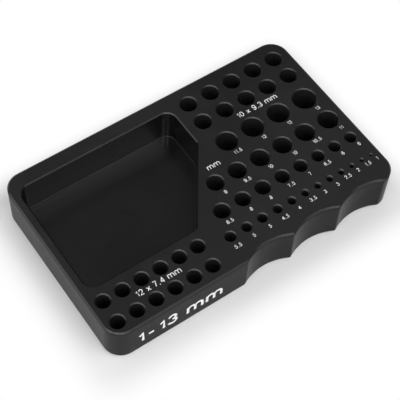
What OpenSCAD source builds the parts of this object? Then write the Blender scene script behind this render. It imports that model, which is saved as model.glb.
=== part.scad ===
// Drill bit stand: a low milled metal block with four rows of graded drill holes,
// two plain storage grids, an open parts tray and finger scallops, on screwed rubber feet.
// The origin lies on the resting plane under the middle of the block.
// +Z is up, -Y is the front with the scallops and -X is the left end.

/* [Block] */
// Length of the block, left to right
body_l = 176; // [170:1:220]
// Width of the block, front to back
body_w = 108; // [106:1:150]
// Height of the block without its feet
body_h = 24; // [22:0.5:40]
// Radius of the four upright corners
corner_r = 10; // [4:0.5:14]
// Chamfer round the top edge
edge_chamfer = 0.8; // [0.2:0.1:1.4]
// Chamfer round the bottom edge
base_chamfer = 0.4; // [0.2:0.1:1]

/* [Drill holes] */
// Drill sizes of each row from the front row to the rear one, each from left to right
row_sizes = [
    [5.5, 5, 5, 4.5, 4, 3.5, 3, 3, 2.5, 2, 1.5, 1],
    [8.5, 8, 8, 7.5, 7, 6.5, 6, 6],
    [9, 9.5, 10, 10, 10.5, 11],
    [11.5, 12, 12, 13]
]; // [1:0.5:13]
// Distance of each row's axis from the front face
row_from_front = [16.6, 31.3, 47.1, 65.2]; // [16:0.1:67]
// Distance of each row's last hole axis from the right face
row_from_right = [5.65, 7.55, 10.3, 12.5]; // [4:0.05:16]
// Wall between neighbouring holes of each row
row_web = [4.75, 4.65, 4.65, 4.95]; // [3:0.05:5.4]
// Diameter of a drill hole over its drill size
hole_clearance = 0.1; // [0.05:0.05:0.4]
// Depth of every hole below the top face
hole_depth = 20; // [12:0.5:20.5]
// Chamfer at the mouth of every hole
hole_chamfer = 0.6; // [0.2:0.1:1]

/* [Rear storage grid] */
// Diameter of the rear storage holes
rear_d = 9.3; // [6:0.1:11]
// Columns of rear storage holes
rear_cols = 5; // [2:1:5]
// Rows of rear storage holes
rear_rows = 2; // [2:1:2]
// Column spacing of the rear storage holes
rear_pitch_x = 14.25; // [12.5:0.05:14.5]
// Row spacing of the rear storage holes
rear_pitch_y = 13.75; // [12.5:0.05:14.5]
// Distance of the last rear column from the right face
rear_from_right = 10.2; // [8:0.1:11]
// Distance of the last rear row from the back face
rear_from_back = 11.6; // [8:0.1:12]

/* [Front storage grid] */
// Diameter of the front storage holes
front_d = 7.4; // [5:0.1:8.5]
// Columns of front storage holes
front_cols = 6; // [2:1:6]
// Rows of front storage holes
front_rows = 2; // [2:1:2]
// Column spacing of the front storage holes
front_pitch_x = 11.1; // [10:0.05:12]
// Row spacing of the front storage holes
front_pitch_y = 13.15; // [11:0.05:14]
// Distance of the first front column from the left face
front_from_left = 7.3; // [6:0.1:9]
// Distance of the first front row from the front face
front_from_front = 7.8; // [6:0.1:8.5]

/* [Parts tray] */
// Wall between the tray and the left face
tray_from_left = 4.75; // [3:0.05:10]
// Wall between the tray and the back face
tray_from_back = 9.35; // [8:0.05:14]
// Distance of the tray's right wall from the right face
tray_from_right = 77.6; // [76:0.1:90]
// Distance of the tray's front wall from the front face
tray_from_front = 29.4; // [27.5:0.1:40]
// Straight length of the right wall behind the slanted wall
tray_right_l = 26.45; // [14:0.05:27]
// Angle of the slanted wall to the front face
tray_slant = 55; // [45:1:65]
// Thickness of the metal under the tray
tray_floor = 3; // [2:0.1:12]
// Radius of the tray's upright corners
tray_corner_r = 6; // [3:0.5:9]
// Radius between the tray's walls and floor
tray_floor_r = 0.5; // [0.3:0.1:2.5]
// Chamfer round the tray's rim
rim_chamfer = 0.6; // [0.2:0.1:1]

/* [Finger scallops] */
// Number of scallops in the front face
scallop_count = 3; // [1:1:3]
// Radius of a scallop
scallop_r = 30; // [25:0.5:35]
// Depth of a scallop into the front face
scallop_depth = 3.65; // [2:0.05:4]
// Spacing of the scallops
scallop_pitch = 29.5; // [27:0.1:31]
// Distance of the last scallop's middle from the right face
scallop_from_right = 24.2; // [22:0.1:30]

/* [Feet] */
// Diameter of a foot
foot_d = 10; // [8:0.5:11]
// Height of a foot
foot_h = 3; // [2.8:0.1:5]
// Depth of the recess that a foot sits in
foot_seat = 1; // [0.5:0.1:1.5]
// Gap round a foot in its recess
foot_clearance = 0.15; // [0.05:0.05:0.4]
// Chamfer round the underside of a foot
foot_chamfer = 0.5; // [0.2:0.1:1]
// Rubber left between the screw head and the block
foot_web = 0.8; // [0.5:0.1:1]
// Distance of the rear left foot from the left face
foot_from_left = 12; // [10:0.5:30]
// Distance of the rear left foot from the back face
foot_from_back = 6.1; // [6:0.1:7]
// Distance of the front right foot from the right face
foot_from_right = 12; // [10:0.5:14]
// Distance of the front right foot from the front face
foot_from_front = 9; // [8.5:0.1:10]

/* [Foot screws] */
// Diameter of a screw's shank
screw_d = 3; // [2:0.1:3]
// Length of a screw under its head
screw_l = 8; // [5:0.5:12]
// Diameter of a screw's head
screw_head_d = 5.5; // [4.5:0.1:6]
// Height of a screw's head
screw_head_h = 1.6; // [1.2:0.1:1.7]
// Width across the flats of a screw's socket
screw_socket_w = 2; // [1.5:0.1:2.5]
// Depth of a screw's socket
screw_socket_depth = 1; // [0.5:0.1:1.1]
// Gap round a screw's shank
screw_clearance = 0.1; // [0.05:0.05:0.2]
// Gap round a screw's head
screw_head_clearance = 0.3; // [0.1:0.1:0.5]
// Hole left beyond the tip of a screw
screw_hole_spare = 1; // [0.5:0.5:3]

/* [Hidden] */
$fn = 72;

// Steps round the blended corners of the tray
blend_fn = 32;

// Cutters run this far past the faces that they open
cut_over = 1;

// Faces of the block
left = -body_l / 2;
right = body_l / 2;
front = -body_w / 2;
back = body_w / 2;
base_z = foot_h - foot_seat;
top_z = base_z + body_h;

// Upright corners of the block, clockwise from the rear left one
block_centres = [
    [left + corner_r, back - corner_r],
    [right - corner_r, back - corner_r],
    [right - corner_r, front + corner_r],
    [left + corner_r, front + corner_r]
];

// Walls of the tray, clockwise from its rear left corner
tray_left = left + tray_from_left;
tray_right = right - tray_from_right;
tray_front = front + tray_from_front;
tray_back = back - tray_from_back;
slant_y = tray_back - tray_right_l;
slant_x = tray_right - (slant_y - tray_front) / tan(tray_slant);
tray_walls = [
    [tray_left, tray_back],
    [tray_right, tray_back],
    [tray_right, slant_y],
    [slant_x, tray_front],
    [tray_left, tray_front]
];
tray_z = base_z + tray_floor;

// Every hole as its place and its diameter
function row_offset(sizes, i, web) =
    i == len(sizes) - 1
        ? 0
        : row_offset(sizes, i + 1, web) + (sizes[i] + sizes[i + 1]) / 2 + hole_clearance + web;

drill_holes = [
    for (row = [0 : len(row_sizes) - 1])
        for (i = [0 : len(row_sizes[row]) - 1])
            [
                right - row_from_right[row] - row_offset(row_sizes[row], i, row_web[row]),
                front + row_from_front[row],
                row_sizes[row][i] + hole_clearance
            ]
];

rear_x = right - rear_from_right;
rear_y = back - rear_from_back;
rear_holes = [
    for (row = [0 : rear_rows - 1])
        for (col = [0 : rear_cols - 1])
            [rear_x - col * rear_pitch_x, rear_y - row * rear_pitch_y, rear_d]
];

front_x = left + front_from_left;
front_y = front + front_from_front;
front_holes = [
    for (row = [0 : front_rows - 1])
        for (col = [0 : front_cols - 1])
            [front_x + col * front_pitch_x, front_y + row * front_pitch_y, front_d]
];

// Two feet stand in the middle of four storage holes, where the block is solid
foot_at_front_left = [front_x + front_pitch_x / 2, front_y + front_pitch_y / 2];
foot_at_front_right = [right - foot_from_right, front + foot_from_front];
foot_at_rear_left = [left + foot_from_left, back - foot_from_back];
foot_at_rear_right = [rear_x - rear_pitch_x / 2, rear_y - rear_pitch_y / 2];
foot_places = [foot_at_front_left, foot_at_front_right, foot_at_rear_left, foot_at_rear_right];

// Levels of a foot and its screw
foot_top = foot_h;
head_seat = foot_h - foot_web;
screw_tip = head_seat + screw_l;

// Inward normal of the edge from a to b of a clockwise outline
function inward(a, b) = [b.y - a.y, a.x - b.x] / norm(b - a);

// A clockwise convex outline moved inward by a depth
function inset(points, depth) = [
    for (i = [0 : len(points) - 1])
        let (
            last = points[(i + len(points) - 1) % len(points)],
            next = points[(i + 1) % len(points)],
            before = inward(last, points[i]),
            after = inward(points[i], next)
        )
        points[i] + depth * (before + after) / (1 + before * after)
];

// Half section of an upright corner of the block
module block_profile() {
    polygon([
        [0, base_z],
        [corner_r - base_chamfer, base_z],
        [corner_r, base_z + base_chamfer],
        [corner_r, top_z - edge_chamfer],
        [corner_r - edge_chamfer, top_z],
        [0, top_z]
    ]);
}

// The block's edge profile carried round its four corners
module block() {
    translate([0, 0, base_z])
        linear_extrude(body_h)
            polygon(block_centres);
    for (i = [0 : len(block_centres) - 1]) {
        run = block_centres[(i + 1) % len(block_centres)] - block_centres[i];
        translate(block_centres[i]) {
            rotate_extrude()
                block_profile();
            rotate([90, 0, atan2(run.y, run.x) + 90])
                linear_extrude(norm(run))
                    block_profile();
        }
    }
}

// One upright corner of the tray with a rounded foot
module tray_post() {
    translate([0, 0, tray_z + tray_floor_r]) {
        rotate_extrude()
            translate([tray_corner_r - tray_floor_r, 0])
                circle(tray_floor_r);
        cylinder(r = tray_corner_r, h = top_z + cut_over - tray_z - tray_floor_r);
    }
}

// One upright corner of the flare round the tray's rim
module rim_post() {
    translate([0, 0, top_z - rim_chamfer - cut_over])
        cylinder(
            r1 = tray_corner_r - cut_over,
            r2 = tray_corner_r + rim_chamfer + cut_over,
            h = rim_chamfer + 2 * cut_over
        );
}

// The hollow of the tray: its walls run between the upright corners
module tray() {
    centres = inset(tray_walls, tray_corner_r);
    hull()
        for (c = centres)
            translate(c)
                tray_post($fn = blend_fn);
    hull()
        for (c = centres)
            translate(c)
                rim_post($fn = blend_fn);
}

// A blind hole with a chamfered mouth in the top face
module hole(place, d) {
    translate(place)
        rotate_extrude()
            polygon([
                [0, top_z - hole_depth],
                [d / 2, top_z - hole_depth],
                [d / 2, top_z - hole_chamfer],
                [d / 2 + hole_chamfer + cut_over, top_z + cut_over],
                [0, top_z + cut_over]
            ]);
}

// An upright hollow through the front face, flared like the edges that it cuts
module scallop() {
    rotate_extrude()
        polygon([
            [0, base_z - cut_over],
            [scallop_r + base_chamfer + cut_over, base_z - cut_over],
            [scallop_r, base_z + base_chamfer],
            [scallop_r, top_z - edge_chamfer],
            [scallop_r + edge_chamfer + cut_over, top_z + cut_over],
            [0, top_z + cut_over]
        ]);
}

// The recess of one foot and the blind hole of its screw
module foot_socket() {
    translate([0, 0, base_z - cut_over])
        cylinder(d = foot_d + 2 * foot_clearance, h = foot_seat + cut_over);
    translate([0, 0, foot_top])
        cylinder(d = screw_d + 2 * screw_clearance, h = screw_tip + screw_hole_spare - foot_top);
}

module body() {
    color([0.13, 0.13, 0.14])
        difference() {
            block();
            tray();
            for (h = concat(drill_holes, rear_holes, front_holes))
                hole([h[0], h[1]], h[2]);
            for (i = [0 : scallop_count - 1])
                translate([
                    right - scallop_from_right - i * scallop_pitch,
                    front + scallop_depth - scallop_r
                ])
                    scallop();
            for (place = foot_places)
                translate(place)
                    foot_socket();
        }
}

module foot(place) {
    color([0.05, 0.05, 0.05])
        translate(place)
            rotate_extrude()
                polygon([
                    [screw_head_d / 2 + screw_head_clearance, 0],
                    [foot_d / 2 - foot_chamfer, 0],
                    [foot_d / 2, foot_chamfer],
                    [foot_d / 2, foot_top],
                    [screw_d / 2 + screw_clearance, foot_top],
                    [screw_d / 2 + screw_clearance, head_seat],
                    [screw_head_d / 2 + screw_head_clearance, head_seat]
                ]);
}

module foot_screw(place) {
    color([0.7, 0.7, 0.72])
        translate(place)
            difference() {
                union() {
                    translate([0, 0, head_seat - screw_head_h])
                        cylinder(d = screw_head_d, h = screw_head_h);
                    translate([0, 0, head_seat])
                        cylinder(d = screw_d, h = screw_l);
                }
                translate([0, 0, head_seat - screw_head_h - cut_over])
                    cylinder(d = screw_socket_w / cos(30), h = screw_socket_depth + cut_over, $fn = 6);
            }
}

module foot_front_left() { foot(foot_at_front_left); }
module foot_front_right() { foot(foot_at_front_right); }
module foot_rear_left() { foot(foot_at_rear_left); }
module foot_rear_right() { foot(foot_at_rear_right); }
module foot_screw_front_left() { foot_screw(foot_at_front_left); }
module foot_screw_front_right() { foot_screw(foot_at_front_right); }
module foot_screw_rear_left() { foot_screw(foot_at_rear_left); }
module foot_screw_rear_right() { foot_screw(foot_at_rear_right); }

body();
foot_front_left();
foot_front_right();
foot_rear_left();
foot_rear_right();
foot_screw_front_left();
foot_screw_front_right();
foot_screw_rear_left();
foot_screw_rear_right();
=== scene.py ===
"""Looks of the drill bit stand: a black anodised block with white size marks on rubber feet."""

import math

import bpy
from mathutils import Matrix, Vector


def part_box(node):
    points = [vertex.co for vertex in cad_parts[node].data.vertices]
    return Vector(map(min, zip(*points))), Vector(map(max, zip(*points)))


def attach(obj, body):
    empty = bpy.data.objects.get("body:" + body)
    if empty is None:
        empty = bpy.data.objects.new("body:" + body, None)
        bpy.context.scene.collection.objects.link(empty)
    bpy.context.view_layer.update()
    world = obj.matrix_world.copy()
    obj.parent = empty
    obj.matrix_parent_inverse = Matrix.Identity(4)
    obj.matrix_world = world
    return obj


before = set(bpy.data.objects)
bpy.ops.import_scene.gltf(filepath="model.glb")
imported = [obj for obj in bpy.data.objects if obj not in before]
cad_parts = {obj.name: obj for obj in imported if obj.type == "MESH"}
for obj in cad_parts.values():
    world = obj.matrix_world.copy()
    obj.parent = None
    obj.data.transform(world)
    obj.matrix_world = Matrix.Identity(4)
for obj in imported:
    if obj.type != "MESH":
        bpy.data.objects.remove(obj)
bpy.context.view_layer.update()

MM = 0.001

# Camera of the photograph, in the part's frame; it aims at a point on the top of the block
CAMERA_AZIMUTH = math.radians(-37.9214)
CAMERA_ELEVATION = math.radians(57.4396)
CAMERA_ROLL = math.radians(3.8651)
CAMERA_DISTANCE = 598.273 * MM
CAMERA_AIM = (-8.7816 * MM, -11.3087 * MM)
CAMERA_FOCUS_PX = 1174.403
CAMERA_CLIP = (0.01, 20.0)
FRAME_PX = 400.0
SENSOR_MM = 36.0

BLOCK_LOW, BLOCK_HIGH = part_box("body")
TOP_Z = BLOCK_HIGH.z
FRONT_Y = BLOCK_LOW.y
FEET = ("foot_front_left", "foot_front_right", "foot_rear_left", "foot_rear_right")
SCREWS = tuple(foot.replace("foot", "foot_screw") for foot in FEET)

# Tray: its wall lines, where the slanted wall starts and its angle, width of the rim's chamfer, floor level
# and height of the blend round the floor
TRAY_X = (-83.25 * MM, 10.4 * MM)
TRAY_Y = (-24.6 * MM, 44.65 * MM)
TRAY_SLANT_Y = 18.2 * MM
TRAY_SLANT = math.radians(55.0)
TRAY_RIM = 0.65 * MM
TRAY_FLOOR_Z = 5.0 * MM
TRAY_BLEND = 0.6 * MM
# Cutter's marks along the tray's back wall, and a painted reflection on the floor there: reach over the
# floor, and streaks per metre along X, Y and Z
SHEEN_AND_MARKS_REACH = 13.0 * MM
STREAK_SCALE = (14.0, 420.0, 430.0)
# Depth from which a face counts as the wall of a hole, and slack for telling a level face
HOLE_RIM = 0.7 * MM
LEVEL_SLACK = 0.02 * MM

# Outer walls and scallops: depth of the band along the outline that they lie in, and how far their normals
# may point up or down
WALL_RIM = 3.9 * MM
WALL_LEAN = 0.5
# Soft shoulder of the outer walls under the top edge, in shading only: its height and how far it falls back
SHOULDER_H = 3.2 * MM
SHOULDER_FALL = 0.5 * MM

# Shading of the nodes: gap that is closed between loose triangles, and angle past which an edge is sharp
MERGE_GAP = 0.0005 * MM
SHARP_ANGLE = math.radians(28.0)

# Finishes: the greys that a mask mixes, the roughness and what a pattern adds to it, and the strength and
# depth of the bump
TOP_GREYS, WALL_GREYS = (0.0078, 0.0108), (0.0200, 0.0240)
BLACK_ROUGH, BLACK_BUMP = (0.17, 0.14), (0.25, 0.02 * MM)
RUBBER_GREYS, RUBBER_ROUGH, RUBBER_BUMP = (0.020, 0.034), (0.62, 0.2), (0.3, 0.05 * MM)
STEEL_GREYS, STEEL_ROUGH, STEEL_BUMP = (0.42, 0.58), (0.26, 0.12), (0.15, 0.01 * MM)
INK_GREYS, INK_ROUGH, INK_BUMP = (0.88, 0.97), (0.45, 0.2), (0.1, 0.01 * MM)
# Both black finishes: what patches add to the roughness, and the grey of worn edges with its share
PATCH_ROUGH = 0.05
WORN_GREY, WORN_SHARE = 0.07, 0.2
# Low gloss of the blasted walls
WALL_GLOSS = 0.035
# Greys of the hole walls, of the tray with its share, and of a painted reflection on the tray's floor beside
# the back wall, with the shares of its plain band and of the cutter's streaks in it
HOLE_GREY = 0.015
# Painted shade: the grey and share that darken the inside of the tray
TRAY_SHADE_GREY, TRAY_SHADE_SHARE = 0.0017, 0.68
# Painted reflection: a lighter band on the tray's floor beside the back wall, stronger along the streaks
PAINTED_SHEEN_GREY, SHEEN_BAND_SHARE, SHEEN_STREAK_SHARE = 0.030, 0.36, 0.35
# What the tray's masks add to the roughness
TRAY_ROUGH = (("Smooth", -0.11), ("Streaks", 0.07), ("Blend", 0.4))
# Rings of the turned screws
RING_SCALE = 420.0

# Soft boxes on a dome: its radius, then for each size of box its side and the azimuth, elevation and
# strength of each one
DOME_R = 1.2
SOFT_BOXES = (
    (0.62, (
        (28, 60, 1.06), (112, 60, 0.08), (142, 60, 0.06), (202, 60, 0.18), (232, 60, 0.11),
        (21, 25, 0.31), (-11, 31, 0.56), (-38, 33, 0.70), (-62, 30, 0.52), (-86, 28, 0.70),
        (-117, 19, 0.44), (172, 38, 0.13), (52, 15, 0.07), (82, 15, 0.05), (112, 15, 0.21),
        (142, 15, 0.42), (172, 15, 0.41), (202, 15, 0.09),
    )),
    (0.22, ((-5, 57, 2.2), (-46, 57, 2.5))),
)

# Floor: half its side, its grey, how far from the block it is lit only and from where it is plain white
FLOOR_HALF = 3.0
FLOOR_GREY = 0.92
FLOOR_LIT_TO = 3.0 * MM
FLOOR_WHITE_FROM = 24.0 * MM

# White marks: how far the ink stands proud of the metal and how thick it is
INK_PROUD = 0.02 * MM
INK_THICKNESS = 0.04 * MM
# The strokes of a sign, three at most, lie a step apart, so that crossing faces share no plane
INK_STEP = 0.004 * MM
STROKES_IN_SIGN = 3
# Height and stroke width of the marks in mm, then the widths of a space and of the gap between two signs
# as shares of a digit's height
SIZE_MARK = (2.2, 0.31)
GROUP_MARK = (3.4, 0.46)
RANGE_MARK = (9.6, 1.6)
SPACE_W = 0.5
SIGN_GAP = 0.16

# Rows of graded holes, front to rear: distance from the front, distance of the last hole from the right,
# metal between holes, and for each hole its size in mm and the middle of its number from its axis
HOLE_CLEARANCE = 0.1
HOLE_ROWS = (
    (16.6, 5.65, 4.75, (
        (5.5, 0.10, -6.50), (5, 0.25, -6.00), (5, 0.30, -6.10), (4.5, 0.35, -6.10),
        (4, 0.70, -5.60), (3.5, 1.15, -5.10), (3, 1.05, -5.05), (3, 1.35, -5.05),
        (2.5, 1.30, -4.10), (2, 1.15, -3.85), (1.5, 1.45, -3.60), (1, 1.50, -3.50),
    )),
    (31.3, 7.55, 4.65, (
        (8.5, -0.20, -7.20), (8, 0.05, -7.25), (8, -0.15, -7.25), (7.5, 0.90, -6.70),
        (7, 1.10, -6.65), (6.5, 1.35, -6.30), (6, 1.00, -5.80), (6, 1.25, -5.75),
    )),
    (47.1, 10.3, 4.65, (
        (9, 1.10, -7.50), (9.5, 1.00, -7.50), (10, 1.40, -7.55), (10, 2.45, -7.60),
        (10.5, 2.25, -7.55), (11, 2.65, -8.05),
    )),
    (65.2, 12.5, 4.95, ((11.5, 1.10, -8.40), (12, 1.20, -8.50), (12, 1.15, -8.50), (13, 2.15, -9.00))),
)

# Plain marks beside the groups of holes: text and middle on the top face in mm
GROUP_TEXTS = (("mm", (9.15, 2.6)), ("10 x 9.3 mm", (51.0, 21.3)), ("12 x 7.4 mm", (-52.5, -39.1)))
# Drill range on the front wall: text, and middle as x and z in mm
RANGE_TEXT = ("1-13 mm", (-49.0, 12.4))

# Kinds of node sockets
FLOAT, VECTOR, GEOMETRY = "NodeSocketFloat", "NodeSocketVector", "NodeSocketGeometry"


def camera_axes():
    """Right, up and back directions of the camera."""
    back = Vector((
        math.sin(CAMERA_AZIMUTH) * math.cos(CAMERA_ELEVATION),
        -math.cos(CAMERA_AZIMUTH) * math.cos(CAMERA_ELEVATION),
        math.sin(CAMERA_ELEVATION),
    ))
    level = Vector((math.cos(CAMERA_AZIMUTH), math.sin(CAMERA_AZIMUTH), 0.0))
    rise = back.cross(level)
    c, s = math.cos(CAMERA_ROLL), math.sin(CAMERA_ROLL)
    return c * level + s * rise, c * rise - s * level, back


def add_camera():
    """Camera at the photograph's place, with its focal length."""
    right, up, back = camera_axes()
    eye = Vector((*CAMERA_AIM, TOP_Z)) + back * CAMERA_DISTANCE
    lens = bpy.data.cameras.new("camera")
    lens.sensor_width = SENSOR_MM
    lens.lens = CAMERA_FOCUS_PX * SENSOR_MM / FRAME_PX
    lens.clip_start, lens.clip_end = CAMERA_CLIP
    camera = bpy.data.objects.new("camera", lens)
    camera.matrix_world = Matrix((
        (right.x, up.x, back.x, eye.x),
        (right.y, up.y, back.y, eye.y),
        (right.z, up.z, back.z, eye.z),
        (0.0, 0.0, 0.0, 1.0),
    ))
    bpy.context.scene.collection.objects.link(camera)
    bpy.context.scene.camera = camera


def add_soft_box(side, azimuth, elevation, strength):
    """Square soft box on a dome round the block; azimuth 0 is in front and 90 on the right."""
    turn, rise = math.radians(azimuth), math.radians(elevation)
    place = DOME_R * Vector((
        math.sin(turn) * math.cos(rise), -math.cos(turn) * math.cos(rise), math.sin(rise),
    ))
    light = bpy.data.lights.new("soft_box", "AREA")
    light.shape = "SQUARE"
    light.size = side
    light.energy = strength * (math.pi * side) ** 2
    lamp = bpy.data.objects.new("soft_box", light)
    lamp.location = place
    lamp.rotation_euler = (-place).to_track_quat("-Z", "Y").to_euler()
    bpy.context.scene.collection.objects.link(lamp)


def feed(tree, socket, value):
    """Gives an input socket a plain value or the output socket that feeds it."""
    if isinstance(value, bpy.types.NodeSocket):
        tree.links.new(value, socket)
    else:
        socket.default_value = value


def add_node(tree, kind, inputs=None, **settings):
    """Node with its settings and with its inputs by name."""
    node = tree.nodes.new(kind)
    for name, value in settings.items():
        setattr(node, name, value)
    for name, value in (inputs or {}).items():
        feed(tree, node.inputs[name], value)
    return node


def math_node(tree, operation, *values):
    """Output of a Math node."""
    node = add_node(tree, "ShaderNodeMath", operation=operation)
    for socket, value in zip(node.inputs, values):
        feed(tree, socket, value)
    return node.outputs[0]


def vector_node(tree, operation, *values):
    """Outputs of a Vector Math node."""
    node = add_node(tree, "ShaderNodeVectorMath", operation=operation)
    for socket, value in zip(node.inputs, values):
        feed(tree, socket, value)
    return node.outputs


def axes_of(tree, vector):
    """Outputs X, Y and Z of a vector."""
    return add_node(tree, "ShaderNodeSeparateXYZ", {"Vector": vector}).outputs


def ramp(tree, value, start, end, kind="LINEAR"):
    """Rise from 0 to 1 while a value goes from start to end."""
    node = add_node(tree, "ShaderNodeMapRange", {
        "Value": value, "From Min": start, "From Max": end,
    }, interpolation_type=kind)
    return node.outputs["Result"]


def new_group(name, inputs, outputs, kind="ShaderNodeTree"):
    """Empty node group with named sockets, and its input and output nodes."""
    tree = bpy.data.node_groups.new(name, kind)
    for socket, socket_kind, value in inputs:
        made = tree.interface.new_socket(socket, in_out="INPUT", socket_type=socket_kind)
        if value is not None:
            made.default_value = value
    for socket, socket_kind in outputs:
        tree.interface.new_socket(socket, in_out="OUTPUT", socket_type=socket_kind)
    return tree, tree.nodes.new("NodeGroupInput"), tree.nodes.new("NodeGroupOutput")


def new_shape_tree(name, *inputs):
    """Empty Geometry Nodes tree that takes a geometry and named inputs and gives a geometry."""
    return new_group(
        name, (("Geometry", GEOMETRY, None), *inputs), (("Geometry", GEOMETRY),), "GeometryNodeTree"
    )


def grain_group():
    """Fine blasted grain: a value around one half and a height for bump."""
    tree, given, out = new_group(
        "fine_grain",
        (("Vector", VECTOR, None), ("Grain Size", FLOAT, 0.3 * MM)),
        (("Value", FLOAT), ("Height", FLOAT)),
    )
    scale = math_node(tree, "DIVIDE", 1.0, given.outputs["Grain Size"])
    noise = add_node(tree, "ShaderNodeTexNoise", {
        "Vector": given.outputs["Vector"], "Scale": scale, "Detail": 2.0, "Roughness": 0.6,
    })
    cells = add_node(tree, "ShaderNodeTexVoronoi", {
        "Vector": given.outputs["Vector"], "Scale": scale, "Randomness": 1.0,
    }, feature="SMOOTH_F1")
    cell_share = 0.6
    height = math_node(tree, "MULTIPLY_ADD", cells.outputs["Distance"], cell_share, noise.outputs["Fac"])
    feed(tree, out.inputs["Value"], noise.outputs["Fac"])
    feed(tree, out.inputs["Height"], height)
    return tree


def patch_group():
    """Broad soft patches, such as handling marks and uneven dye, as a mask from 0 to 1."""
    tree, given, out = new_group(
        "soft_patches",
        (("Vector", VECTOR, None), ("Patch Size", FLOAT, 30 * MM), ("Share", FLOAT, 0.5)),
        (("Mask", FLOAT),),
    )
    scale = math_node(tree, "DIVIDE", 1.0, given.outputs["Patch Size"])
    noise = add_node(tree, "ShaderNodeTexNoise", {
        "Vector": given.outputs["Vector"], "Scale": scale, "Detail": 3.0, "Roughness": 0.55,
        "Distortion": 0.4,
    })
    start_without_share, softness = 0.85, 0.3
    low = math_node(tree, "SUBTRACT", start_without_share, given.outputs["Share"])
    high = math_node(tree, "ADD", low, softness)
    feed(tree, out.inputs["Mask"], ramp(tree, noise.outputs["Fac"], low, high, "SMOOTHSTEP"))
    return tree


def edge_group():
    """Softened normal of a piece, and a mask of its edges broken up by a speckle, for wear."""
    tree, given, out = new_group(
        "edge_wear",
        (("Vector", VECTOR, None), ("Radius", FLOAT, 0.2 * MM), ("Speckle Size", FLOAT, 1.5 * MM)),
        (("Mask", FLOAT), ("Normal", VECTOR)),
    )
    rounded = add_node(tree, "ShaderNodeBevel", {"Radius": given.outputs["Radius"]}, samples=6)
    surface = tree.nodes.new("ShaderNodeNewGeometry")
    cosine = vector_node(tree, "DOT_PRODUCT", rounded.outputs["Normal"], surface.outputs["Normal"])["Value"]
    bent_from, bent_to = 0.995, 0.95
    bend = ramp(tree, cosine, bent_from, bent_to)
    scale = math_node(tree, "DIVIDE", 1.0, given.outputs["Speckle Size"])
    noise = add_node(tree, "ShaderNodeTexNoise", {
        "Vector": given.outputs["Vector"], "Scale": scale, "Detail": 4.0, "Roughness": 0.7,
    })
    speckle_from, speckle_to = 0.42, 0.72
    speckle = ramp(tree, noise.outputs["Fac"], speckle_from, speckle_to)
    feed(tree, out.inputs["Mask"], math_node(tree, "MULTIPLY", bend, speckle))
    feed(tree, out.inputs["Normal"], rounded.outputs["Normal"])
    return tree


def tray_outline(tree, vector, place):
    """Masks that are all 1 inside the tray's outline seen from above, with its rim."""
    inside = []
    for axis, (low, high) in (("X", TRAY_X), ("Y", TRAY_Y)):
        off = math_node(tree, "SUBTRACT", place[axis], (low + high) / 2)
        reach = (high - low) / 2 + TRAY_RIM
        inside.append(math_node(tree, "LESS_THAN", math_node(tree, "ABSOLUTE", off), reach))
    past = Vector((math.sin(TRAY_SLANT), -math.cos(TRAY_SLANT), 0.0))
    off = vector_node(tree, "DOT_PRODUCT", vector, past)["Value"]
    reach = past.dot(Vector((TRAY_X[1], TRAY_SLANT_Y, 0.0))) + TRAY_RIM
    inside.append(math_node(tree, "LESS_THAN", off, reach))
    return inside


def cutter_streaks(tree, vector):
    """Fine streaks along the tray's back wall."""
    stretched = vector_node(tree, "MULTIPLY", vector, STREAK_SCALE)["Vector"]
    noise = add_node(tree, "ShaderNodeTexNoise", {
        "Vector": stretched, "Scale": 1.0, "Detail": 3.0, "Roughness": 0.65,
    })
    streak_from, streak_to = 0.38, 0.68
    return ramp(tree, noise.outputs["Fac"], streak_from, streak_to)


def tray_group():
    """Masks of the holes and of the tray: all of it, its smooth parts, the streaks and the floor beside the
    back wall where a reflection is painted, and the blend round the floor."""
    tree, given, out = new_group(
        "tray_masks",
        (("Vector", VECTOR, None),),
        tuple((name, FLOAT) for name in ("Holes", "Tray", "Smooth", "Streaks", "Band", "Blend")),
    )
    vector = given.outputs["Vector"]
    place = axes_of(tree, vector)
    tray = math_node(tree, "LESS_THAN", place["Z"], TOP_Z - LEVEL_SLACK)
    for mask in tray_outline(tree, vector, place):
        tray = math_node(tree, "MULTIPLY", tray, mask)
    deep = math_node(tree, "LESS_THAN", place["Z"], TOP_Z - HOLE_RIM)
    holes = math_node(tree, "MULTIPLY", deep, math_node(tree, "SUBTRACT", 1.0, tray))
    beside = ramp(tree, place["Y"], TRAY_Y[1] - SHEEN_AND_MARKS_REACH, TRAY_Y[1], "SMOOTHSTEP")
    floor = math_node(tree, "LESS_THAN", place["Z"], TRAY_FLOOR_Z + LEVEL_SLACK)
    low = math_node(tree, "LESS_THAN", place["Z"], TRAY_FLOOR_Z + TRAY_BLEND)
    wall = math_node(tree, "SUBTRACT", 1.0, floor)
    in_tray = {
        "Smooth": math_node(tree, "MAXIMUM", wall, beside),
        "Streaks": math_node(tree, "MULTIPLY", cutter_streaks(tree, vector), beside),
        "Band": math_node(tree, "MULTIPLY", floor, beside),
        "Blend": math_node(tree, "SUBTRACT", low, floor),
    }
    feed(tree, out.inputs["Holes"], holes)
    feed(tree, out.inputs["Tray"], tray)
    for name, mask in in_tray.items():
        feed(tree, out.inputs[name], math_node(tree, "MULTIPLY", tray, mask))
    return tree


def use_group(tree, group, **inputs):
    """Outputs of a shader group placed in a material; an underscore in an input's name is a space."""
    named = {name.replace("_", " "): value for name, value in inputs.items()}
    return add_node(tree, "ShaderNodeGroup", named, node_tree=group).outputs


def grey(value):
    """Opaque colour of one grey."""
    return (value, value, value, 1.0)


def mix_grey(tree, mask, a, b):
    """Colour that goes from a to b by a mask; each is a grey or the output of another mix."""
    node = add_node(tree, "ShaderNodeMix", data_type="RGBA")
    feed(tree, node.inputs[0], mask)
    for socket, tone in ((node.inputs[6], a), (node.inputs[7], b)):
        feed(tree, socket, grey(tone) if isinstance(tone, float) else tone)
    return node.outputs[2]


def patterned_rough(tree, pattern, rough):
    """Roughness from its least value and from what a pattern adds to it."""
    least, added = rough
    return math_node(tree, "MULTIPLY_ADD", pattern, added, least)


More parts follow.
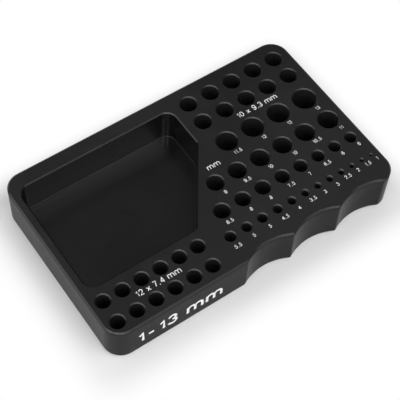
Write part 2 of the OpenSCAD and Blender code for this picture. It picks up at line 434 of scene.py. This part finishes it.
def new_material(name):
    """Material with an empty tree, its shader and its object coordinates."""
    material = bpy.data.materials.new(name)
    material.use_nodes = True
    tree = material.node_tree
    tree.nodes.clear()
    out = tree.nodes.new("ShaderNodeOutputMaterial")
    shader = tree.nodes.new("ShaderNodeBsdfPrincipled")
    tree.links.new(shader.outputs["BSDF"], out.inputs["Surface"])
    place = tree.nodes.new("ShaderNodeTexCoord")
    return material, tree, shader, place.outputs["Object"]


def feed_shader(tree, shader, colour, rough, height, bump, normal=None):
    """Gives a shader its colour, its roughness and a bump of a strength and depth, on a normal if given."""
    strength, depth = bump
    raised = add_node(tree, "ShaderNodeBump", {"Height": height, "Strength": strength, "Distance": depth})
    if normal is not None:
        feed(tree, raised.inputs["Normal"], normal)
    feed(tree, shader.inputs["Base Color"], colour)
    feed(tree, shader.inputs["Roughness"], rough)
    feed(tree, shader.inputs["Normal"], raised.outputs["Normal"])


def black_skin(tree, place):
    """What both black finishes share: patches, edge wear, roughness, height of the grain, softened normal."""
    grain = use_group(tree, GRAIN, Vector=place, Grain_Size=0.35 * MM)
    patches = use_group(tree, PATCHES, Vector=place, Patch_Size=32 * MM, Share=0.45)
    edges = use_group(tree, EDGES, Vector=place, Radius=0.14 * MM, Speckle_Size=2.2 * MM)
    rough = patterned_rough(tree, grain["Value"], BLACK_ROUGH)
    return {
        "patches": patches["Mask"],
        "wear": math_node(tree, "MULTIPLY", edges["Mask"], WORN_SHARE),
        "rough": math_node(tree, "MULTIPLY_ADD", patches["Mask"], PATCH_ROUGH, rough),
        "height": grain["Height"],
        "normal": edges["Normal"],
    }


def machined_black():
    """Finish of the top, holes and tray, with the cutter's marks beside the tray's back wall and a painted
    reflection lightening the floor there.
    """
    material, tree, shader, place = new_material("machined_black")
    skin = black_skin(tree, place)
    tray = use_group(tree, TRAY, Vector=place)
    # Painted shade: the inside of the tray is darkened in colour
    in_tray = math_node(tree, "MULTIPLY", tray["Tray"], TRAY_SHADE_SHARE)
    # Painted reflection: lighter band on the tray's floor beside the back wall, brighter along the cutter's
    # streaks
    marks = math_node(tree, "MULTIPLY_ADD", tray["Streaks"], SHEEN_STREAK_SHARE, SHEEN_BAND_SHARE)
    marks = math_node(tree, "MULTIPLY", marks, tray["Band"])
    colour = mix_grey(tree, skin["patches"], *TOP_GREYS)
    for mask, tone in (
        (tray["Holes"], HOLE_GREY),
        (in_tray, TRAY_SHADE_GREY),
        (marks, PAINTED_SHEEN_GREY),
        (skin["wear"], WORN_GREY),
    ):
        colour = mix_grey(tree, mask, colour, tone)
    rough = skin["rough"]
    for name, added in TRAY_ROUGH:
        rough = math_node(tree, "MULTIPLY_ADD", tray[name], added, rough)
    feed_shader(tree, shader, colour, rough, skin["height"], BLACK_BUMP, skin["normal"])
    return material


def blasted_black():
    """Duller finish of the outer walls and scallops, with their soft shoulder under the top edge."""
    material, tree, shader, place = new_material("blasted_black")
    skin = black_skin(tree, place)
    colour = mix_grey(tree, skin["patches"], *WALL_GREYS)
    colour = mix_grey(tree, skin["wear"], colour, WORN_GREY)
    shader.inputs["Specular IOR Level"].default_value = WALL_GLOSS
    up = ramp(tree, axes_of(tree, place)["Z"], TOP_Z - SHOULDER_H, TOP_Z)
    fall = math_node(tree, "MULTIPLY", math_node(tree, "POWER", up, 2.0), -SHOULDER_FALL)
    shoulder = add_node(tree, "ShaderNodeBump", {
        "Height": fall, "Strength": 1.0, "Distance": 1.0, "Normal": skin["normal"],
    })
    feed_shader(
        tree, shader, colour, skin["rough"], skin["height"], BLACK_BUMP, shoulder.outputs["Normal"]
    )
    return material


def foot_rubber():
    """Matt black rubber of the feet."""
    material, tree, shader, place = new_material("foot_rubber")
    grain = use_group(tree, GRAIN, Vector=place, Grain_Size=0.5 * MM)
    patches = use_group(tree, PATCHES, Vector=place, Patch_Size=4 * MM, Share=0.4)
    colour = mix_grey(tree, patches["Mask"], *RUBBER_GREYS)
    rough = patterned_rough(tree, grain["Value"], RUBBER_ROUGH)
    feed_shader(tree, shader, colour, rough, grain["Height"], RUBBER_BUMP)
    return material


def screw_steel(name, centre):
    """Turned steel with rings round the screw's own axis."""
    material, tree, shader, place = new_material(name)
    local = add_node(tree, "ShaderNodeMapping", {
        "Vector": place, "Location": (-centre.x, -centre.y, 0.0),
    })
    rings = add_node(tree, "ShaderNodeTexWave", {
        "Vector": local.outputs["Vector"], "Scale": RING_SCALE, "Distortion": 0.6, "Detail": 2.0,
    }, wave_type="RINGS", rings_direction="Z").outputs["Fac"]
    grain = use_group(tree, GRAIN, Vector=place, Grain_Size=0.25 * MM)
    shader.inputs["Metallic"].default_value = 1.0
    colour = mix_grey(tree, grain["Value"], *STEEL_GREYS)
    feed_shader(tree, shader, colour, patterned_rough(tree, rings, STEEL_ROUGH), rings, STEEL_BUMP)
    return material


def white_ink():
    """Matt white of the marks."""
    material, tree, shader, place = new_material("white_ink")
    grain = use_group(tree, GRAIN, Vector=place, Grain_Size=0.2 * MM)
    colour = mix_grey(tree, grain["Value"], *INK_GREYS)
    rough = patterned_rough(tree, grain["Value"], INK_ROUGH)
    feed_shader(tree, shader, colour, rough, grain["Height"], INK_BUMP)
    return material


def distance_from_block(tree, vector):
    """Distance of a point on the floor from the block's outline, 0 under the block."""
    place = axes_of(tree, vector)
    gaps = {}
    for axis, half in (("X", BLOCK_HIGH.x), ("Y", BLOCK_HIGH.y)):
        past = math_node(tree, "SUBTRACT", math_node(tree, "ABSOLUTE", place[axis]), half)
        gaps[axis] = math_node(tree, "MAXIMUM", past, 0.0)
    away = add_node(tree, "ShaderNodeCombineXYZ", gaps)
    return vector_node(tree, "LENGTH", away.outputs[0])["Value"]


def studio_floor():
    """Pale floor: lit and shadowed round the block, plain white to the eye and in reflections farther off."""
    material = bpy.data.materials.new("studio_floor")
    material.use_nodes = True
    tree = material.node_tree
    tree.nodes.clear()
    out = tree.nodes.new("ShaderNodeOutputMaterial")
    lit = add_node(tree, "ShaderNodeBsdfDiffuse", {"Color": grey(FLOOR_GREY)})
    plain = add_node(tree, "ShaderNodeEmission", {"Color": grey(1.0), "Strength": 1.0})
    path = tree.nodes.new("ShaderNodeLightPath").outputs
    seen = math_node(tree, "MAXIMUM", path["Is Camera Ray"], path["Is Glossy Ray"])
    place = tree.nodes.new("ShaderNodeTexCoord").outputs["Object"]
    far = ramp(tree, distance_from_block(tree, place), FLOOR_LIT_TO, FLOOR_WHITE_FROM, "SMOOTHSTEP")
    mix = tree.nodes.new("ShaderNodeMixShader")
    for socket, value in zip(mix.inputs, (
        math_node(tree, "MULTIPLY", seen, far), lit.outputs[0], plain.outputs[0],
    )):
        feed(tree, socket, value)
    feed(tree, out.inputs["Surface"], mix.outputs[0])
    return material


def add_floor():
    """Square floor under the feet, as a part of the stage."""
    half = FLOOR_HALF
    corners = [(-half, -half, 0), (half, -half, 0), (half, half, 0), (-half, half, 0)]
    mesh = bpy.data.meshes.new("floor")
    mesh.from_pydata(corners, [], [(0, 1, 2, 3)])
    mesh.materials.append(studio_floor())
    floor = bpy.data.objects.new("floor", mesh)
    bpy.context.scene.collection.objects.link(floor)


def add_world():
    """Dark studio round the soft boxes."""
    world = bpy.data.worlds.new("studio")
    bpy.context.scene.world = world
    world.use_nodes = True
    sky = world.node_tree.nodes["Background"]
    sky.inputs["Strength"].default_value = 0.0


def soft_shading_tree():
    """Joins a node's loose triangles and smooths the shading across shallow edges only."""
    tree, given, out = new_shape_tree("soft_shading", ("Sharp Angle", FLOAT, SHARP_ANGLE))
    joined = add_node(tree, "GeometryNodeMergeByDistance", {
        "Geometry": given.outputs["Geometry"], "Distance": MERGE_GAP,
    })
    smooth = add_node(tree, "GeometryNodeSetShadeSmooth", {
        "Geometry": joined.outputs[0], "Shade Smooth": True,
    })
    angle = tree.nodes.new("GeometryNodeInputMeshEdgeAngle")
    sharp = math_node(tree, "GREATER_THAN", angle.outputs["Unsigned Angle"], given.outputs["Sharp Angle"])
    creased = add_node(tree, "GeometryNodeSetShadeSmooth", {
        "Geometry": smooth.outputs[0], "Selection": sharp, "Shade Smooth": False,
    }, domain="EDGE")
    feed(tree, out.inputs["Geometry"], creased.outputs[0])
    return tree


def wall_finish_tree():
    """Gives upright faces near the outline the second finish of the block."""
    tree, given, out = new_shape_tree(
        "wall_finish",
        ("Half Length", FLOAT, BLOCK_HIGH.x - WALL_RIM),
        ("Half Width", FLOAT, BLOCK_HIGH.y - WALL_RIM),
    )
    place = axes_of(tree, tree.nodes.new("GeometryNodeInputPosition").outputs[0])
    facing = axes_of(tree, tree.nodes.new("GeometryNodeInputNormal").outputs[0])
    outer = [
        math_node(tree, "GREATER_THAN", math_node(tree, "ABSOLUTE", place[axis]), given.outputs[limit])
        for axis, limit in (("X", "Half Length"), ("Y", "Half Width"))
    ]
    upright = math_node(tree, "LESS_THAN", math_node(tree, "ABSOLUTE", facing["Z"]), WALL_LEAN)
    wall = math_node(tree, "MULTIPLY", math_node(tree, "MAXIMUM", *outer), upright)
    dressed = add_node(tree, "GeometryNodeSetMaterialIndex", {
        "Geometry": given.outputs["Geometry"], "Selection": wall, "Material Index": 1,
    })
    feed(tree, out.inputs["Geometry"], dressed.outputs[0])
    return tree


def dress_node(name, material, wall=None):
    """Gives a CAD node its material and smooth shading, and its outer walls a finish of their own."""
    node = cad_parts[name]
    if not node.material_slots:
        node.data.materials.append(material)
    for slot in node.material_slots:
        slot.material = material
    if wall:
        node.data.materials.append(wall)
        node.modifiers.new("wall_finish", "NODES").node_group = wall_finish_tree()
    node.modifiers.new("soft_shading", "NODES").node_group = SHADING
    weighted = node.modifiers.new("flat_faces", "WEIGHTED_NORMAL")
    weighted.mode = "FACE_AREA"
    weighted.keep_sharp = True


def arc(x, y, rx, ry, start, end, steps=14):
    """Points of an elliptic arc between two angles in degrees."""
    turns = [math.radians(start + (end - start) * k / steps) for k in range(steps + 1)]
    return [(x + rx * math.cos(turn), y + ry * math.sin(turn)) for turn in turns]


def sign_strokes():
    """Strokes of each sign, as lines through points on a grid where a digit is one high."""
    six = [
        arc(0.29, 0.31, 0.285, 0.31, 180, 540),
        arc(0.31, 0.60, 0.305, 0.40, 35, 180) + [(0.005, 0.31)],
    ]
    return {
        "0": [arc(0.29, 0.5, 0.285, 0.5, 90, 450, 22)],
        "1": [[(0.12, 0.74), (0.27, 0.84), (0.38, 1.0), (0.38, 0.0)]],
        "2": [arc(0.29, 0.71, 0.28, 0.29, 172, -38) + [(0.0, 0.0), (0.58, 0.0)]],
        "3": [arc(0.27, 0.745, 0.255, 0.255, 165, -90), arc(0.27, 0.25, 0.30, 0.25, 90, -165)],
        "4": [[(0.44, 0.0), (0.44, 1.0)], [(0.42, 0.98), (0.0, 0.33)], [(-0.04, 0.29), (0.60, 0.29)]],
        "5": [[(0.54, 1.0), (0.13, 1.0), (0.05, 0.50)] + arc(0.275, 0.325, 0.30, 0.325, 135, -160)],
        "6": six,
        "7": [[(0.0, 1.0), (0.58, 1.0), (0.35, 0.52), (0.22, 0.0)]],
        "8": [arc(0.29, 0.755, 0.245, 0.245, 90, 450), arc(0.29, 0.255, 0.29, 0.255, 90, 450)],
        "9": [[(0.58 - x, 1.0 - y) for x, y in stroke] for stroke in six],
        ".": [[(0.0, 0.0), (0.16, 0.0)]],
        "-": [[(0.06, 0.42), (0.42, 0.42)]],
        "x": [[(0.0, 0.02), (0.56, 0.68)], [(0.0, 0.68), (0.56, 0.02)]],
        "m": [
            [(0.0, 0.0), (0.0, 0.72)],
            [(0.0, 0.44)] + arc(0.27, 0.46, 0.27, 0.26, 180, 0) + [(0.54, 0.0)],
            [(0.54, 0.44)] + arc(0.81, 0.46, 0.27, 0.26, 180, 0) + [(1.08, 0.0)],
        ],
    }


def text_strokes(text, height, stroke, middle):
    """Strokes of a short text of a given height with its middle at a point, all in mm."""
    grid = height - stroke
    placed, along = [], 0.0
    for sign in text:
        if sign == " ":
            along += SPACE_W
            continue
        lines = SIGNS[sign]
        placed += [[(along + x, y) for x, y in line] for line in lines]
        along += max(x for line in lines for x, _ in line) + stroke / grid + SIGN_GAP
    right = max(x for line in placed for x, _ in line)
    left = min(x for line in placed for x, _ in line)
    return [
        [(middle[0] + (x - (left + right) / 2) * grid, middle[1] + (y - 0.5) * grid) for x, y in line]
        for line in placed
    ]


def wire_mesh(strokes):
    """Loose edges along strokes in mm, each at its own step; a stroke whose ends meet becomes a ring."""
    points, edges = [], []
    for n, line in enumerate(strokes):
        ring = math.isclose(math.dist(line[0], line[-1]), 0.0, abs_tol=1e-6)
        line = line[:-1] if ring else line
        first = len(points)
        depth = -INK_STEP * (n % STROKES_IN_SIGN)
        points += [(x * MM, y * MM, depth) for x, y in line]
        edges += [(first + k, first + k + 1) for k in range(len(line) - 1)]
        if ring:
            edges.append((len(points) - 1, first))
    mesh = bpy.data.meshes.new("wire")
    mesh.from_pydata(points, edges, [])
    return mesh


def ink_tree():
    """Thin band of ink along each wire, turned and moved to its face."""
    tree, given, out = new_shape_tree(
        "ink_strokes",
        ("Stroke", FLOAT, None),
        ("Thickness", FLOAT, None),
        ("Place", VECTOR, None),
        ("Tilt", FLOAT, None),
        ("Ink", "NodeSocketMaterial", None),
    )
    lines = add_node(tree, "GeometryNodeMeshToCurve", {"Mesh": given.outputs["Geometry"]})
    section = add_node(tree, "GeometryNodeCurvePrimitiveQuadrilateral", {
        "Width": given.outputs["Stroke"], "Height": given.outputs["Thickness"],
    })
    band = add_node(tree, "GeometryNodeCurveToMesh", {
        "Curve": lines.outputs[0], "Profile Curve": section.outputs[0], "Fill Caps": True,
    })
    turn = add_node(tree, "ShaderNodeCombineXYZ", {"X": given.outputs["Tilt"]})
    placed = add_node(tree, "GeometryNodeTransform", {
        "Geometry": band.outputs[0], "Translation": given.outputs["Place"], "Rotation": turn.outputs[0],
    })
    single = add_node(tree, "GeometryNodeRealizeInstances", {"Geometry": placed.outputs[0]})
    inked = add_node(tree, "GeometryNodeSetMaterial", {
        "Geometry": single.outputs[0], "Material": given.outputs["Ink"],
    })
    feed(tree, out.inputs["Geometry"], inked.outputs[0])
    return tree


def add_marks(name, texts, size, place, tilt, ink):
    """One piece of ink from several texts, each with its middle in mm on the marked face."""
    height, stroke = size
    strokes = [line for text, middle in texts for line in text_strokes(text, height, stroke, middle)]
    carrier = bpy.data.objects.new("wire", wire_mesh(strokes))
    bpy.context.scene.collection.objects.link(carrier)
    modifier = carrier.modifiers.new("ink_strokes", "NODES")
    modifier.node_group = INK_STROKES
    values = {"Stroke": stroke * MM, "Thickness": INK_THICKNESS, "Place": place, "Tilt": tilt, "Ink": ink}
    for item in INK_STROKES.interface.items_tree:
        if item.in_out == "INPUT" and item.name in values:
            modifier[item.identifier] = values[item.name]
    seen = carrier.evaluated_get(bpy.context.evaluated_depsgraph_get())
    mesh = bpy.data.meshes.new_from_object(seen)
    mesh.name = name
    bpy.data.objects.remove(carrier)
    piece = bpy.data.objects.new(name, mesh)
    bpy.context.scene.collection.objects.link(piece)
    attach(piece, "root")


def size_texts():
    """Number beside each graded hole, with its middle on the top face in mm."""
    texts = []
    for from_front, from_right, web, holes in HOLE_ROWS:
        x, y = BLOCK_HIGH.x / MM - from_right, FRONT_Y / MM + from_front
        for k in range(len(holes) - 1, -1, -1):
            size, dx, dy = holes[k]
            texts.append((f"{size:g}", (x + dx, y + dy)))
            if k:
                x -= (size + holes[k - 1][0]) / 2 + HOLE_CLEARANCE + web
    return texts


def add_all_marks():
    """Size numbers and group marks on the top, and the drill range on the front wall."""
    ink = white_ink()
    sink = INK_PROUD - INK_THICKNESS / 2
    on_top, on_front = (0.0, 0.0, TOP_Z + sink), (0.0, FRONT_Y - sink, 0.0)
    add_marks("size_numbers", size_texts(), SIZE_MARK, on_top, 0.0, ink)
    add_marks("group_marks", GROUP_TEXTS, GROUP_MARK, on_top, 0.0, ink)
    add_marks("range_mark", [RANGE_TEXT], RANGE_MARK, on_front, math.radians(90.0), ink)


bpy.context.scene.view_settings.view_transform = "Standard"
GRAIN, PATCHES, EDGES, TRAY = grain_group(), patch_group(), edge_group(), tray_group()
SHADING, INK_STROKES, SIGNS = soft_shading_tree(), ink_tree(), sign_strokes()

add_camera()
add_world()
add_floor()
for side, boxes in SOFT_BOXES:
    for azimuth, elevation, strength in boxes:
        add_soft_box(side, azimuth, elevation, strength)

dress_node("body", machined_black(), blasted_black())
rubber = foot_rubber()
for foot, screw in zip(FEET, SCREWS):
    dress_node(foot, rubber)
    low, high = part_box(screw)
    dress_node(screw, screw_steel("steel_" + screw, (low + high) / 2))
add_all_marks()
